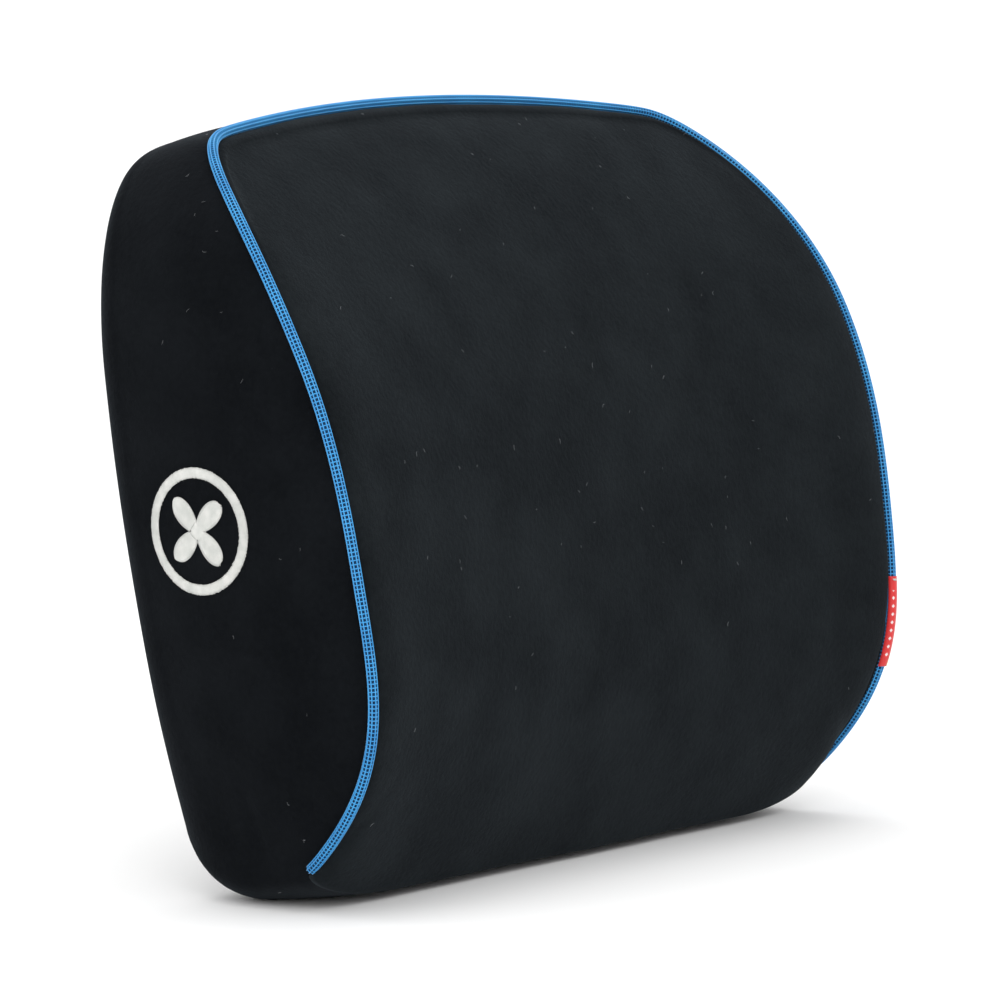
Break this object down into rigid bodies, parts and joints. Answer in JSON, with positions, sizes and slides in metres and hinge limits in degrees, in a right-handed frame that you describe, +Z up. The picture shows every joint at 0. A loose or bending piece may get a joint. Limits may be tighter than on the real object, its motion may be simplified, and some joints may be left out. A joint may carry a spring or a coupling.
{
  "type": "lumbar support cushion",
  "caption": "Wedge shaped foam back cushion in a zipped pile cover with corded front edges, a round side emblem and a buckled strap across its back.",
  "frame": {"origin": "middle of the flattened heel that the cushion stands on", "axes": "+X across the cushion to the right as seen from its front, -Y out of its front face, +Z up from the table it stands on"},
  "size_m": [0.41, 0.1534, 0.3228],
  "materials": {
    "velour_cover": "short pile velour",
    "velour_gusset": "short pile velour",
    "back_cloth_upper": "woven cloth",
    "back_cloth_lower": "woven cloth",
    "foam": "soft moulded foam",
    "liner": "thin knitted liner",
    "cord": "twisted filler cord",
    "piping_mesh": "knitted mesh sleeve",
    "thread": "satin stitch",
    "backing": "nonwoven backing",
    "label": "woven ribbon",
    "care": "woven ribbon",
    "zip_tape": "woven tape",
    "zip_coil": "nylon coil",
    "zip_metal": "dark enamel",
    "webbing": "elastic webbing",
    "moulded": "satin moulded"
  },
  "bodies": {
    "cushion": {"back_panel_lower": "back_cloth_lower", "back_panel_upper": "back_cloth_upper", "buckle_socket": "moulded", "care_label": "care", "emblem_petals": "thread", "emblem_ring": "thread", "embroidery_backing": "backing", "foam_core": "foam", "front_panel": "velour_cover", "gusset_band": "velour_gusset", "liner_back": "liner", "liner_front": "liner", "piping_cord": "cord", "piping_sleeve": "piping_mesh", "side_label": "label", "strap_long": "webbing", "strap_short": "webbing", "zip_coil_lower": "zip_coil", "zip_coil_upper": "zip_coil", "zip_stop_left": "zip_metal", "zip_stop_right": "zip_metal", "zip_tape_lower": "zip_tape", "zip_tape_upper": "zip_tape"},
    "slider": {"zip_slider": "zip_metal"},
    "pull": {"zip_pull": "zip_metal"},
    "plug": {"buckle_plug": "moulded"},
    "prong_upper": {"buckle_prong_upper": "moulded"},
    "prong_lower": {"buckle_prong_lower": "moulded"},
    "adjuster": {"strap_slide": "moulded"}
  },
  "joints": [
    {"name": "zip_slide", "type": "slide", "parent": "cushion", "child": "slider", "axis": [1, 0, 0], "range_m": [0, 0.31195]},
    {"name": "zip_pull_flip", "type": "hinge", "parent": "slider", "child": "pull", "pos_m": [-0.15597, 0.03595, 0.06331], "axis": [0, 0.1819, 0.9833], "range_deg": [0, 170]},
    {"name": "buckle_release", "type": "slide", "parent": "cushion", "child": "plug", "axis": [1, 0, 0], "range_m": [0, 0.026], "deforming": ["buckle_prong_upper", "buckle_prong_lower", "strap_long"]},
    {"name": "prong_upper_squeeze", "type": "hinge", "parent": "plug", "child": "prong_upper", "pos_m": [-0.03, 0.05597, 0.1783], "axis": [0, -0.989, 0.1478], "range_deg": [0, 5], "stiffness_Nm_per_rad": 0.5},
    {"name": "prong_lower_squeeze", "type": "hinge", "parent": "plug", "child": "prong_lower", "pos_m": [-0.03, 0.05225, 0.15338], "axis": [0, 0.989, -0.1478], "range_deg": [0, 5], "stiffness_Nm_per_rad": 0.5},
    {"name": "strap_adjust", "type": "slide", "parent": "cushion", "child": "adjuster", "axis": [1, 0, 0], "range_m": [0, 0.05]}
  ]
}
